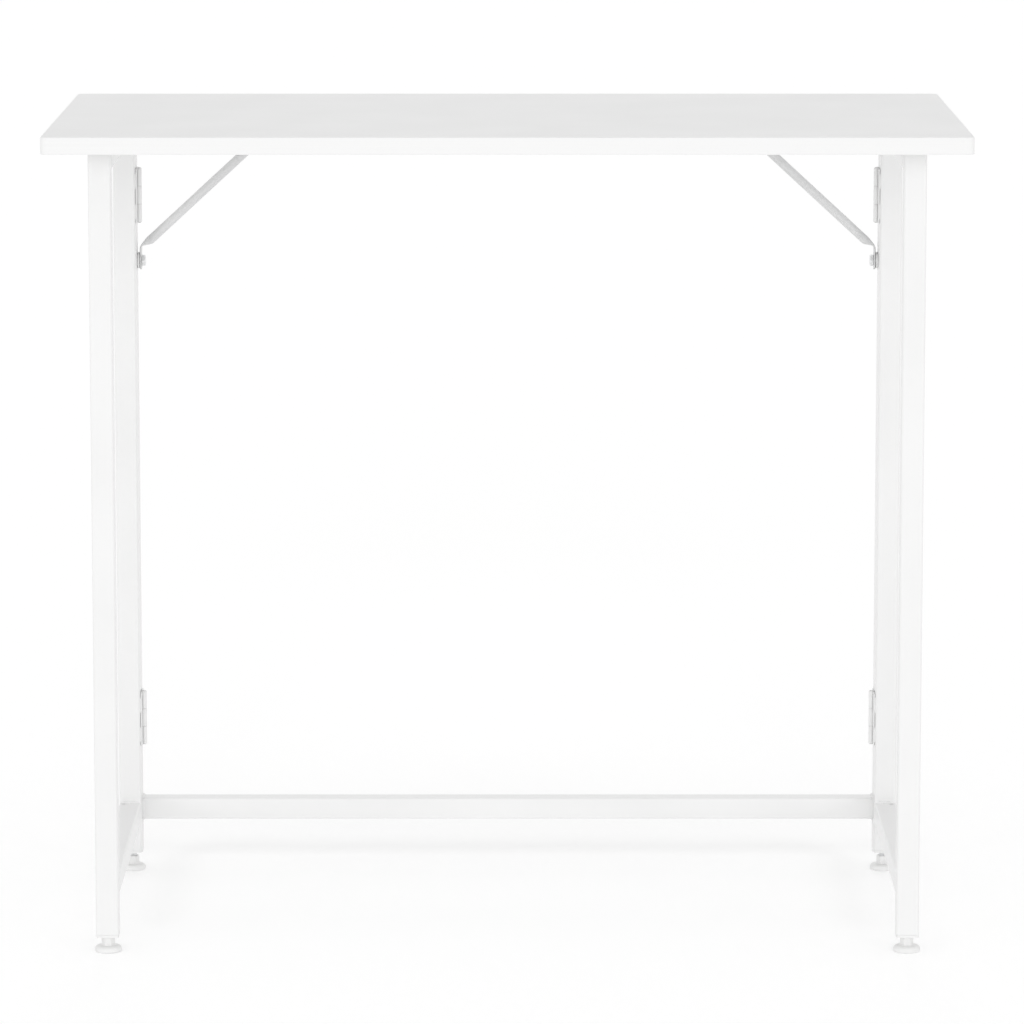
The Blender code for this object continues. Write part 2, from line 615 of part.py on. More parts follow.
def build_desk():
    clear_scene()
    melamine = make_finish("white_melamine", (0.80, 0.80, 0.80), 0.42, 0.0)
    band = make_finish("white_edge_band", (0.84, 0.84, 0.84), 0.38, 0.0)
    paint = make_finish("white_powder_coat", (0.82, 0.82, 0.82), 0.45, 0.0)
    plastic = make_finish("white_plastic", (0.80, 0.80, 0.79), 0.50, 0.0)
    steel = make_finish("zinc_plated_steel", (0.72, 0.73, 0.74), 0.35, 1.0)
    add_rear_frame(paint, plastic)
    tilt_axis = make_axis("tabletop_axis", (0, UPRIGHT_Y, PIVOT_HEIGHT))
    add_top(melamine, band, tilt_axis)
    for word, side in SIDES:
        leg_axis = add_side_frame(word, side, paint, plastic)
        add_hinge(word + "_upper_hinge", side, UPPER_HINGE_LOW, paint, leg_axis)
        add_hinge(word + "_lower_hinge", side, LOWER_HINGE_LOW, paint, leg_axis)
        add_pivot(word, side, steel, plastic)
        add_brace(word, side, paint, steel, tilt_axis)
        add_foot(word + "_front_foot", side * TUBE_AXIS_X, LEG_Y, plastic, steel)
        add_foot(word + "_rear_foot", side * TUBE_AXIS_X, UPRIGHT_Y, plastic, steel)


build_desk()
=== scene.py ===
import json
import math

import bmesh
import bpy
import numpy as np
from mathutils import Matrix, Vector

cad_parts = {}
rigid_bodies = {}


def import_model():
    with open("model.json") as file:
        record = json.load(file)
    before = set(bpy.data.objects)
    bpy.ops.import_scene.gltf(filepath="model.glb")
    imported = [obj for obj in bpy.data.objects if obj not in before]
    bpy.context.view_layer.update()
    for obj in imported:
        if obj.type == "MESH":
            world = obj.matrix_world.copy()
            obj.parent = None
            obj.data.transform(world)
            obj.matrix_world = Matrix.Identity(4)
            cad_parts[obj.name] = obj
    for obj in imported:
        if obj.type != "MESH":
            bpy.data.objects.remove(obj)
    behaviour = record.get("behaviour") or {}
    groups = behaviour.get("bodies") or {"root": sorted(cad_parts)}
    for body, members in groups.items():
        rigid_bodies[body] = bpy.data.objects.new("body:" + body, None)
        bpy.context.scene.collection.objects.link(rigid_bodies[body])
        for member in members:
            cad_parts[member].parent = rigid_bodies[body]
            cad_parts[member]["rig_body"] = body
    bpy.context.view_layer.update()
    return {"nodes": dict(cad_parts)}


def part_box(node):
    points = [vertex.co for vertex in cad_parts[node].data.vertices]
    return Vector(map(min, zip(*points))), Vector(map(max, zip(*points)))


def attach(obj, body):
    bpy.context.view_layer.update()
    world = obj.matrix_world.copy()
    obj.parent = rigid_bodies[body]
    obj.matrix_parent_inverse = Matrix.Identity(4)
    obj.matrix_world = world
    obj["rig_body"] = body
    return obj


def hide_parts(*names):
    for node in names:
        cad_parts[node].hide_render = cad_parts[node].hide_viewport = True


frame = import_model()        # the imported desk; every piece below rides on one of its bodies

sides = (("left", -1), ("right", 1))
quarterTurn = math.pi / 2
fullTurn = 2 * math.pi
axisOrder = {"x": [2, 0, 1], "y": [0, 2, 1], "z": [0, 1, 2]}    # where a piece's own z points
creaseAngle = 40     # edges that turn by more degrees than this stay sharp in shading
restGap = 0.0004     # a row of points this far beside a rounded edge keeps the flats flat in shading
hairGap = 0.0001     # the smallest step between two rows of points
easeMiddle = 0.3     # the middle point of a small rounded edge, as a share of its size


# A skin is rows x points x 3. Quads join each point to the next on its ring and to the same point one ring
# on. An open skin gets a flat face at each end, a closed one joins its last ring to its first.
def skin(rings, closed=False):
    rows, count = rings.shape[:2]
    row = np.arange(rows if closed else rows - 1)[:, None]
    point = np.arange(count)[None, :]
    after = (point + 1) % count
    above = (row + 1) % rows
    corners = np.broadcast_arrays(
        row * count + point, row * count + after, above * count + after, above * count + point)
    quads = np.stack(corners, -1).reshape(-1, 4)
    ends = [] if closed else [np.arange(count), np.arange((rows - 1) * count, rows * count)]
    return rings.reshape(-1, 3), quads, ends


# Puts skins one after another into one mesh and turns every face outwards.
def meshOf(name, skins, crease):
    corners, sizes, start = [], [], 0
    for points, quads, ends in skins:
        corners += [quads.ravel() + start] + [end + start for end in ends]
        sizes += [np.full(len(quads), 4)] + [np.array([len(end)]) for end in ends]
        start += len(points)
    points = np.concatenate([part[0] for part in skins]).astype(np.float32)
    corners = np.concatenate(corners).astype(np.int32)
    sizes = np.concatenate(sizes).astype(np.int32)
    mesh = bpy.data.meshes.new(name)
    mesh.vertices.add(len(points))
    mesh.vertices.foreach_set("co", points.ravel())
    mesh.loops.add(len(corners))
    mesh.loops.foreach_set("vertex_index", corners)
    mesh.polygons.add(len(sizes))
    mesh.polygons.foreach_set("loop_start", np.cumsum(sizes) - sizes)
    mesh.update(calc_edges=True)
    builder = bmesh.new()
    builder.from_mesh(mesh)
    bmesh.ops.recalc_face_normals(builder, faces=builder.faces)
    builder.to_mesh(mesh)
    builder.free()
    mesh.shade_smooth()
    mesh.set_sharp_from_angle(angle=math.radians(crease))
    return mesh


def addObject(name, skins, crease=creaseAngle):
    piece = bpy.data.objects.new(name, meshOf(name, skins, crease))
    bpy.context.scene.collection.objects.link(piece)
    return piece


# left_front_leg becomes leftFrontLeg.
def pieceName(node):
    first, *rest = node.split("_")
    return first + "".join(word.capitalize() for word in rest)


# A piece that stands for one node, riding on that node's body and wearing the given finish; the node is
# hidden.
def standFor(node, skins, finish, crease=creaseAngle):
    piece = addObject(pieceName(node), skins, crease)
    piece.data.materials.append(finish)
    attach(piece, frame["nodes"][node]["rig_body"])
    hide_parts(node)
    return piece


# Turns a shape's own z along a main axis and moves its origin to a place.
def placed(rings, axis, place):
    return rings[..., axisOrder[axis]] + np.array(place)


# Rings of a rectangle with rounded corners, one ring for each inset and height.
# Corner point: corner centre plus bend times cosine and sine. One more point a short rest beyond each arc
# keeps the flats flat in shading.
def squareRings(width, depth, bend, inset, height, steps=8, rest=restGap):
    quarter = np.arange(4)[:, None] * quarterTurn
    turn = np.linspace(0, quarterTurn, steps + 1)
    angle = quarter + np.concatenate([[0], turn, [quarterTurn]])[None, :]
    slide = np.zeros_like(angle)
    slide[:, 0] = -rest
    slide[:, -1] = rest
    sideX = np.sign(np.cos(quarter + quarterTurn / 2))
    sideY = np.sign(np.sin(quarter + quarterTurn / 2))
    inset = np.asarray(inset, float)[:, None, None]
    bend = np.maximum(bend - inset, hairGap)
    x = sideX * (width / 2 - inset - bend) + bend * np.cos(angle) - slide * np.sin(angle)
    y = sideY * (depth / 2 - inset - bend) + bend * np.sin(angle) + slide * np.cos(angle)
    z = np.broadcast_to(np.asarray(height, float)[:, None, None], x.shape)
    return np.stack([x, y, z], -1).reshape(len(inset), -1, 3)


# Inset and height of a wall whose lower and upper edges are quarter circles of the ease's radius.
# Rows a short rest before and after each quarter keep the wall and the end faces flat in shading.
def easedWall(length, ease, steps=5, rest=restGap):
    turn = np.linspace(0, quarterTurn, steps + 1)
    inset = np.concatenate([[ease + rest], ease * (1 - np.sin(turn)), [0]])
    height = np.concatenate([[0], ease * (1 - np.cos(turn)), [ease + rest]])
    return np.concatenate([inset, inset[::-1]]), np.concatenate([height, length - height[::-1]])


# Rings turned about z: radius times cosine and sine. With a hexagon across its flats, the radius is the
# smaller of the turned one and half of across over the cosine of the angle from the nearest flat's middle.
def turnedRings(radius, height, columns=48, across=None):
    angle = (np.arange(columns) + 0.5) * (fullTurn / columns)
    radius = np.broadcast_to(np.asarray(radius, float)[:, None], (len(radius), columns))
    if across is not None:
        flat = np.asarray(across, float)[:, None] / 2
        radius = np.minimum(radius, flat / np.cos(angle % (math.pi / 3) - math.pi / 6))
    z = np.broadcast_to(np.asarray(height, float)[:, None], radius.shape)
    return np.stack([radius * np.cos(angle), radius * np.sin(angle), z], -1)


# Takes drilled holes out of a piece: a turned cutter for each place, and the cut shape kept as the mesh.
def drill(piece, radius, axis, places, reach=0.003, columns=40):
    rings = turnedRings([radius, radius], [-reach, reach], columns)
    cutter = addObject("drill", [skin(placed(rings, axis, place)) for place in places])
    cut = piece.modifiers.new("drilled", "BOOLEAN")
    cut.operation = "DIFFERENCE"
    cut.solver = "EXACT"
    cut.object = cutter
    bpy.context.view_layer.update()
    shaped = bpy.data.meshes.new_from_object(piece.evaluated_get(bpy.context.evaluated_depsgraph_get()))
    piece.modifiers.clear()
    piece.data = shaped
    bpy.data.objects.remove(cutter)
    shaped.set_sharp_from_angle(angle=math.radians(creaseAngle))


# Finishes. Noise is read on the piece's own metres, so a scale of 1000 gives spots of about a millimetre.
# In the looks a noise is its scale and detail, and its stretch along the axes where it has one.
noiseRange = (0.3, 0.7)    # most of a noise's values lie between these


def newFinish(name):
    finish = bpy.data.materials.new(name)
    finish.use_nodes = True
    return finish, finish.node_tree.nodes["Principled BSDF"]


# Cloudy noise from 0 to 1, stretched along the axes.
def cloud(finish, scale, detail, stretch=(1.0, 1.0, 1.0)):
    nodes, links = finish.node_tree.nodes, finish.node_tree.links
    coords = nodes.new("ShaderNodeTexCoord")
    mapping = nodes.new("ShaderNodeMapping")
    mapping.inputs["Scale"].default_value = stretch
    noise = nodes.new("ShaderNodeTexNoise")
    noise.inputs["Scale"].default_value = scale
    noise.inputs["Detail"].default_value = detail
    links.new(coords.outputs["Object"], mapping.inputs["Vector"])
    links.new(mapping.outputs["Vector"], noise.inputs["Vector"])
    return noise.outputs["Fac"]


def between(finish, source, low, high):
    ranged = finish.node_tree.nodes.new("ShaderNodeMapRange")
    ranged.inputs["From Min"].default_value, ranged.inputs["From Max"].default_value = noiseRange
    ranged.inputs["To Min"].default_value = low
    ranged.inputs["To Max"].default_value = high
    finish.node_tree.links.new(source, ranged.inputs["Value"])
    return ranged.outputs["Result"]


def tint(finish, source, look):
    ramp = finish.node_tree.nodes.new("ShaderNodeValToRGB")
    for stop, place, name in zip(ramp.color_ramp.elements, noiseRange, ("dark", "light")):
        stop.position = place
        stop.color = (*look[name], 1)
    finish.node_tree.links.new(source, ramp.inputs["Fac"])
    return ramp.outputs["Color"]


def mixed(finish, first, second, share):
    mix = finish.node_tree.nodes.new("ShaderNodeMix")
    mix.inputs["Factor"].default_value = share
    finish.node_tree.links.new(first, mix.inputs["A"])
    finish.node_tree.links.new(second, mix.inputs["B"])
    return mix.outputs["Result"]


# Joins colour, roughness and relief to a finish's shader, each from its own noise.
def dress(finish, shader, look, colour, sheen, height):
    links = finish.node_tree.links
    bump = finish.node_tree.nodes.new("ShaderNodeBump")
    bump.inputs["Strength"].default_value = look["strength"]
    bump.inputs["Distance"].default_value = look["depth"]
    links.new(height, bump.inputs["Height"])
    links.new(tint(finish, colour, look), shader.inputs["Base Color"])
    links.new(between(finish, sheen, *look["rough"]), shader.inputs["Roughness"])
    links.new(bump.outputs["Normal"], shader.inputs["Normal"])


melamineLook = {
    "dark": (0.842, 0.842, 0.840), "light": (0.862, 0.862, 0.860), "rough": (0.36, 0.46),
    "pearl": (1500, 3), "coarsePearl": (500, 3), "coarseShare": 0.4, "depth": 0.00003, "strength": 0.5,
    "mottle": (6, 3), "speck": (900, 2), "speckShare": 0.35, "sheen": (14, 3),
}


def makeMelamine():
    look = melamineLook
    finish, shader = newFinish("whiteMelamine")
    coarse = cloud(finish, *look["coarsePearl"])
    pearl = mixed(finish, cloud(finish, *look["pearl"]), coarse, look["coarseShare"])
    mottle = mixed(finish, cloud(finish, *look["mottle"]), cloud(finish, *look["speck"]), look["speckShare"])
    dress(finish, shader, look, mottle, cloud(finish, *look["sheen"]), pearl)
    return finish


bandLook = {
    "dark": (0.860, 0.860, 0.858), "light": (0.885, 0.885, 0.883), "rough": (0.32, 0.44),
    "lines": (1.0, 2, (4, 4, 1800)), "fine": (1300, 3), "colourShare": 0.5, "reliefShare": 0.6,
    "depth": 0.00003, "strength": 0.5,
}


def makeEdgeBand():
    look = bandLook
    finish, shader = newFinish("whiteEdgeBand")
    lines = cloud(finish, *look["lines"])    # drawn lines along the band
    fine = cloud(finish, *look["fine"])
    dress(finish, shader, look, mixed(finish, lines, fine, look["colourShare"]), lines,
          mixed(finish, lines, fine, look["reliefShare"]))
    return finish


powderLook = {
    "dark": (0.848, 0.848, 0.846), "light": (0.880, 0.880, 0.878), "rough": (0.34, 0.44),
    "peel": (800, 1), "finePeel": (1900, 1), "fineShare": 0.25, "depth": 0.000012, "strength": 0.6,
    "drift": (11, 3), "peelShare": 0.15, "coat": 0.4, "coatRough": 0.25,
}
braceLook = {    # greyer and smoother than the frame's coat; the grey is painted shade from under the tabletop
    **powderLook, "dark": (0.690, 0.692, 0.694), "light": (0.720, 0.722, 0.723),
    "peel": (900, 1), "depth": 0.000008, "coat": 0.3, "coatRough": 0.3,
}


def makePowderCoat(name, look):
    finish, shader = newFinish(name)
    shader.inputs["Coat Weight"].default_value = look["coat"]    # the baked film's semi-gloss skin
    shader.inputs["Coat Roughness"].default_value = look["coatRough"]
    peel = mixed(finish, cloud(finish, *look["peel"]), cloud(finish, *look["finePeel"]), look["fineShare"])
    drift = mixed(finish, cloud(finish, *look["drift"]), peel, look["peelShare"])
    dress(finish, shader, look, drift, drift, peel)
    return finish


plasticLook = {
    "dark": (0.845, 0.845, 0.841), "light": (0.878, 0.878, 0.873), "rough": (0.38, 0.52),
    "grain": (2600, 2), "flow": (90, 3), "grainShare": 0.4, "depth": 0.00004, "strength": 0.6,
}


def makePlastic():
    look = plasticLook
    finish, shader = newFinish("whitePlastic")
    grain = cloud(finish, *look["grain"])
    flow = mixed(finish, cloud(finish, *look["flow"]), grain, look["grainShare"])
    dress(finish, shader, look, flow, grain, grain)
    return finish


zincLook = {
    "dark": (0.82, 0.83, 0.845), "light": (0.93, 0.93, 0.925), "rough": (0.30, 0.44),
    "spangle": (700, 4), "bloom": (160, 3), "bloomShare": 0.5, "scratch": (900, 2, (1, 6, 6)),
    "scratchShare": 0.5, "depth": 0.00002, "strength": 0.5,
}


def makeZinc():
    look = zincLook
    finish, shader = newFinish("zincPlatedSteel")
    shader.inputs["Metallic"].default_value = 1.0
    spangle = cloud(finish, *look["spangle"])
    scratch = cloud(finish, *look["scratch"])
    dress(finish, shader, look, mixed(finish, spangle, cloud(finish, *look["bloom"]), look["bloomShare"]),
          mixed(finish, spangle, scratch, look["scratchShare"]), scratch)
    return finish


melamine = makeMelamine()
edgeBand = makeEdgeBand()
powderCoat = makePowderCoat("whitePowderCoat", powderLook)
# The braces' greyer coat is painted shade from under the tabletop.
braceCoat = makePowderCoat("paleGreyPowderCoat", braceLook)
plastic = makePlastic()
zinc = makeZinc()
print("finishes made: melamine, edge band, powder coats, plastic, zinc")


# Tabletop: a slab and the band round it, both the outline of a rectangle with rounded corners carried up an
# eased wall. The small eases leave a fine groove where the two meet.
topShape = {"corner": 0.006, "cornerSteps": 16, "bandThickness": 0.001, "bandEase": 0.0008,
            "bandRest": 0.00005, "boardEase": 0.00012}


def addTabletop():
    low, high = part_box("tabletop_edge_band")
    width, depth, thickness = high.x - low.x, high.y - low.y, high.z - low.z
    middle = ((low.x + high.x) / 2, (low.y + high.y) / 2, low.z)
    inset, height = easedWall(thickness, topShape["boardEase"])
    board = squareRings(width, depth, topShape["corner"], inset + topShape["bandThickness"], height,
                        topShape["cornerSteps"])
    standFor("tabletop_board", [skin(placed(board, "z", middle))], melamine)
    inset, height = easedWall(thickness, topShape["bandEase"], rest=topShape["bandRest"])
    inset = np.concatenate([inset, [topShape["bandThickness"]] * 2])    # down the hidden inner wall
    height = np.concatenate([height, [thickness, 0]])
    band = squareRings(width, depth, topShape["corner"], inset, height, topShape["cornerSteps"])
    standFor("tabletop_edge_band", [skin(placed(band, "z", middle), closed=True)], edgeBand)


addTabletop()
print("tabletop made: board and edge band")


# Square tubes: the rounded square of the outside carried along the tube and back inside along the bore.
# A sink lengthens a tube into the ones that it is welded to.
tubeShape = {"wall": 0.0012, "corner": 0.002, "endEase": 0.0002, "weldSink": 0.0008}


def addTube(node, axis, sink=0.0):
    low, high = (np.array(corner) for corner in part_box(node))
    along = "xyz".index(axis)
    start = (low + high) / 2
    start[along] = low[along] - sink
    length = (high - low)[along] + 2 * sink
    across = np.delete(high - low, along)
    ease, wall = tubeShape["endEase"], tubeShape["wall"]
    middle = ease * easeMiddle
    inset = [ease, middle, 0, 0, 0, 0, middle, ease, wall, wall]
    height = [0, middle, ease, ease + restGap]
    height += [length - step for step in reversed(height)] + [length, 0]
    rings = squareRings(across[0], across[1], tubeShape["corner"], inset, height)
    return standFor(node, [skin(placed(rings, axis, start), closed=True)], powderCoat)


# A small vent hole through the upper wall of each bottom rail, close to the stile and the outer side.
ventShape = {"radius": 0.0022, "fromStile": 0.0045, "fromOuterSide": 0.0047}

for word, side in sides:
    for upright in ("front_leg", "rear_stile", "rear_upright"):
        addTube(word + "_" + upright, "z")
    addTube(word + "_top_rail", "y", tubeShape["weldSink"])
    rail = addTube(word + "_bottom_rail", "y", tubeShape["weldSink"])
    low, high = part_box(word + "_bottom_rail")
    ventX = (high.x if side > 0 else low.x) - side * ventShape["fromOuterSide"]
    drill(rail, ventShape["radius"], "z", [(ventX, high.y - ventShape["fromStile"], high.z)])
addTube("rear_crossbar", "x", tubeShape["weldSink"])
print("tubes made: legs, stiles, uprights, rails and crossbar")


# Weld stitch: an ellipse carried along a straight seam. Its size follows one plus a small cosine of the
# distance along, and rounds off at both ends as the root of one minus a high power of the distance from the
# middle.
weldShape = {"ripplePitch": 0.0023, "ripple": 0.11, "endPower": 10, "endLeast": 0.02, "ringGap": 0.00035,
             "ringPoints": 20, "fillet": 0.0017, "flushHeight": 0.0005, "flushHalfWidth": 0.0023,
             "flushSetBack": 0.0006, "endGap": 0.002, "leafFillet": 0.0010, "leafStitch": 0.014,
             "leafMargin": 0.004, "crease": 60}


def weldStitch(start, end, outward, height, halfWidth):
    start, end, outward = np.array(start), np.array(end), np.array(outward, float)
    length = np.linalg.norm(end - start)
    direction = (end - start) / length
    outward = outward / np.linalg.norm(outward)
    across = np.cross(direction, outward)
    share = np.linspace(0, 1, int(length / weldShape["ringGap"]))[:, None]
    fade = 1 - np.abs(2 * share - 1) ** weldShape["endPower"]
    ripple = weldShape["ripple"] * np.cos(share * length * fullTurn / weldShape["ripplePitch"])
    swell = np.sqrt(np.clip(fade, weldShape["endLeast"], 1)) * (1 + ripple)
    angle = np.linspace(0, fullTurn, weldShape["ringPoints"] + 1)[None, :-1]
    centre = start + share * (end - start)
    rings = (centre[:, None, :] + (swell * np.sin(angle) * height)[..., None] * outward
             + (swell * np.cos(angle) * halfWidth)[..., None] * across)
    return skin(rings)


# Seams round both ends of a rail: fillets above and below it, and flush seams on the two sides that it shares
# with the tube.
def railSeams(node, axis, top=True):
    low, high = (np.array(corner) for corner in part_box(node))
    along, flush = "xyz".index(axis), "yx".index(axis)
    gap = weldShape["endGap"]
    seams = []
    for end, inward in ((low, 1), (high, -1)):
        faceLow, faceHigh = low.copy(), high.copy()
        faceLow[along] = faceHigh[along] = end[along]
        for z, up in ((high[2], 1), (low[2], -1)):
            if up == 1 and not top:
                continue
            start, stop = faceLow.copy(), faceHigh.copy()
            start[2] = stop[2] = z
            start[flush] += gap
            stop[flush] -= gap
            outward = np.zeros(3)
            outward[along], outward[2] = inward, up
            seams.append(weldStitch(start, stop, outward, weldShape["fillet"], weldShape["fillet"]))
        for face, out in ((low[flush], -1), (high[flush], 1)):
            start, stop = faceLow.copy(), faceHigh.copy()
            start[flush] = stop[flush] = face
            start[along] = stop[along] = end[along] - inward * weldShape["flushSetBack"]
            start[2] += gap
            stop[2] -= gap
            outward = np.zeros(3)
            outward[flush] = out
            seams.append(
                weldStitch(start, stop, outward, weldShape["flushHeight"], weldShape["flushHalfWidth"]))
    return seams


# Two stitches along the free edge of a hinge leaf.
def leafSeams(node, tubeNode, towards):
    low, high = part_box(node)
    tubeLow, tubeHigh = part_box(tubeNode)
    side = 1 if low.x > 0 else -1
    x = tubeLow.x if side > 0 else tubeHigh.x
    y = high.y if towards > 0 else low.y
    fillet, length, margin = weldShape["leafFillet"], weldShape["leafStitch"], weldShape["leafMargin"]
    starts = (low.z + margin, high.z - margin - length)
    return [weldStitch((x, y, z), (x, y, z + length), (-side, towards, 0), fillet, fillet) for z in starts]


def addWelds(name, seams, body):
    welds = addObject(name, seams, weldShape["crease"])
    welds.data.materials.append(powderCoat)
    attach(welds, body)


rearSeams = railSeams("rear_crossbar", "x")
for word, side in sides:
    seams = railSeams(word + "_bottom_rail", "y") + railSeams(word + "_top_rail", "y", top=False)
    for place in ("upper", "lower"):
        seams += leafSeams(word + "_" + place + "_hinge_leg_leaf", word + "_rear_stile", -1)
        rearSeams += leafSeams(word + "_" + place + "_hinge_frame_leaf", word + "_rear_upright", 1)
    addWelds(word + "SideWelds", seams, word + "_side_frame")
addWelds("rearWelds", rearSeams, "rear_frame")
print("weld seams made")


# Stoppers: a flange with eased edges under or over the tube's end, then a body inside the tube.
# A bored stopper goes on to a round bore whose points stand at the same angles as the outside's.
stopperShape = {"capFlange": 0.00145, "plugFlange": 0.00225, "ease": 0.0005, "easeSteps": 5, "corner": 0.002,
                "bodyInset": 0.0015, "boreRadius": 0.0043, "boreLip": 0.0006}


def addStopper(node, flange, upward, bored):
    low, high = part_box(node)
    size, length = high.x - low.x, high.z - low.z
    ease, body = stopperShape["ease"], stopperShape["bodyInset"]
    turn = np.linspace(0, quarterTurn, stopperShape["easeSteps"] + 1)
    inset = np.concatenate([[ease + restGap], ease * (1 - np.sin(turn)),
                            [0, hairGap, body, body, body + restGap]])
    height = np.concatenate([[0], ease * (1 - np.cos(turn)),
                             [flange - hairGap, flange, flange, length - restGap, length]])
    rings = squareRings(size, size, stopperShape["corner"], inset, height)
    if bored:
        bearing = np.arctan2(rings[0, :, 1], rings[0, :, 0])[None, :]
        lip = stopperShape["boreLip"]
        radius = np.array([0, 0, lip])[:, None] + stopperShape["boreRadius"]
        depth = np.broadcast_to(np.array([length, lip, 0])[:, None], (3, bearing.shape[1]))
        bore = np.stack([radius * np.cos(bearing), radius * np.sin(bearing), depth], -1)
        rings = np.concatenate([rings, bore])
    if not upward:
        rings = rings * np.array([1, 1, -1])
    place = ((low.x + high.x) / 2, (low.y + high.y) / 2, low.z if upward else high.z)
    standFor(node, [skin(placed(rings, "z", place), closed=bored)], plastic)


for word, side in sides:
    for upright, bored in (("front_leg", True), ("rear_stile", False), ("rear_upright", True)):
        addStopper(word + "_" + upright + "_cap", stopperShape["capFlange"], False, False)
        addStopper(word + "_" + upright + "_plug", stopperShape["plugFlange"], True, bored)
print("caps and plugs made")


# Levelling feet. Pad: a turned disc with rounded edges, a fillet up to a hexagonal collar with a chamfered
# top, and the socket inside. Stem: a screw thread, its radius a triangle wave of height less angle share.
padShape = {
    "edge": 0.0016, "edgeRows": 8, "waist": 0.0026, "columns": 72,
    "domeTop": 0.0057, "domeReach": 0.0036, "domeSpan": 0.97, "domeRows": 16,
    "soleSteps": (0.0030, 0.0024, 0.0016, 0.0004), "soleRecess": 0.0006,    # rows inside the edge, two raised
    "collarTop": 0.0134, "collarAcross": 0.0104, "collarFillet": 0.0007, "collarRest": 0.0003,
    "collarChamfer": 0.0006, "collarBreak": 0.0003,
    "socket": 0.0043, "socketFloor": 0.006, "socketChamfer": 0.0003,
}


def padRings(radius):
    shape = padShape
    edge, waist, columns = shape["edge"], shape["waist"], shape["columns"]
    top, reach = shape["domeTop"], shape["domeReach"]
    turn = np.linspace(0, quarterTurn, shape["edgeRows"])
    dome = np.linspace(0, quarterTurn * shape["domeSpan"], shape["domeRows"])
    discRadius = np.concatenate([radius - edge - np.array(shape["soleSteps"]),
                                 radius - edge + edge * np.sin(turn),
                                 radius - reach + reach * np.cos(dome)])
    discHeight = np.concatenate([[shape["soleRecess"], shape["soleRecess"], 0, 0],
                                 edge - edge * np.cos(turn),
                                 waist + (top - waist) * np.sin(dome)])
    disc = turnedRings(discRadius, discHeight, columns)
    collarTop, fillet, chamfer = shape["collarTop"], shape["collarFillet"], shape["collarChamfer"]
    half = shape["collarAcross"] / 2
    corner = 2 / math.sqrt(3) * half    # out to the hexagon's corners
    away = fillet * (1 - np.sin(turn))
    tip = chamfer * turn / quarterTurn
    radiusUp = np.concatenate([corner + away, [corner, corner], corner - shape["collarBreak"] - tip])
    acrossUp = np.concatenate([2 * (half + away), np.full(2 + len(tip), 2 * half)])
    heightUp = np.concatenate([top + hairGap + fillet * (1 - np.cos(turn)),
                               [top + fillet + shape["collarRest"], collarTop - chamfer - hairGap],
                               collarTop - chamfer + tip])
    collar = turnedRings(radiusUp, heightUp, columns, acrossUp)
    bore, lip = shape["socket"], shape["socketChamfer"]
    socketHeight = [collarTop, collarTop - lip, shape["socketFloor"]]
    socket = turnedRings([bore + lip, bore, bore], socketHeight, columns)
    return np.concatenate([disc, collar, socket])


stemShape = {"radius": 0.004, "chamfer": 0.0006, "columns": 32, "threadPitch": 0.00125,
             "threadDepth": 0.00068, "threadLength": 0.024, "threadFade": 0.0005, "rowsPerTurn": 12,
             "rootFlat": 1.25, "flankSlope": 1.5, "crease": 60}


def stemRings(length):
    shape = stemShape
    pitch, threaded, columns = shape["threadPitch"], shape["threadLength"], shape["columns"]
    angle = np.arange(columns) * (fullTurn / columns)
    threadRows = np.linspace(0, threaded, int(threaded / pitch * shape["rowsPerTurn"]))
    plainRows = [threaded + shape["threadFade"], length - shape["chamfer"], length]
    z = np.concatenate([threadRows, plainRows])[:, None]
    wave = np.abs(2 * ((z / pitch - angle / fullTurn) % 1) - 1)    # 0 in the root's middle
    cut = shape["threadDepth"] * np.clip(shape["rootFlat"] - shape["flankSlope"] * wave, 0, 1)
    cut = np.where(z > threaded, 0, cut)
    rim = np.where(z == length, shape["chamfer"], 0)
    around = shape["radius"] - cut - rim
    return np.stack([around * np.cos(angle), around * np.sin(angle), np.broadcast_to(z, around.shape)], -1)


for word, side in sides:
    for end in ("front", "rear"):
        foot = word + "_" + end + "_foot_"
        low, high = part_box(foot + "pad")
        middleX, middleY = (low.x + high.x) / 2, (low.y + high.y) / 2
        pad = placed(padRings((high.x - low.x) / 2), "z", (middleX, middleY, low.z))
        standFor(foot + "pad", [skin(pad)], plastic)
        low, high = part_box(foot + "stem")
        stem = placed(stemRings(high.z - low.z), "z", (middleX, middleY, low.z))
        standFor(foot + "stem", [skin(stem)], zinc, stemShape["crease"])
print("levelling feet made")


# Butt hinges. Leaf: an eased plate, with a strip for each knuckle whose middle line runs along the plate and
# then round the pin, its two faces half a thickness to either side. Pin: turned, with domed heads.
hingeShape = {
    "thickness": 0.0011, "width": 0.015, "gap": 0.0002, "plateCorner": 0.0016, "ease": 0.00012,
    "easeSteps": 3, "knuckle": 0.0025, "rollSteps": 60, "rollShort": 1.0,    # short of a turn, at the plate
    "leadSteps": 5, "leadSink": 0.0004, "leadEnd": 0.0003, "leadThinner": 0.00003, "crease": 35,
    "pinRadius": 0.0011, "headRadius": 0.0018, "headHeight": 0.0006, "headRows": 5, "headDome": 0.8,
    "headRim": 0.98, "pinColumns": 32,
}


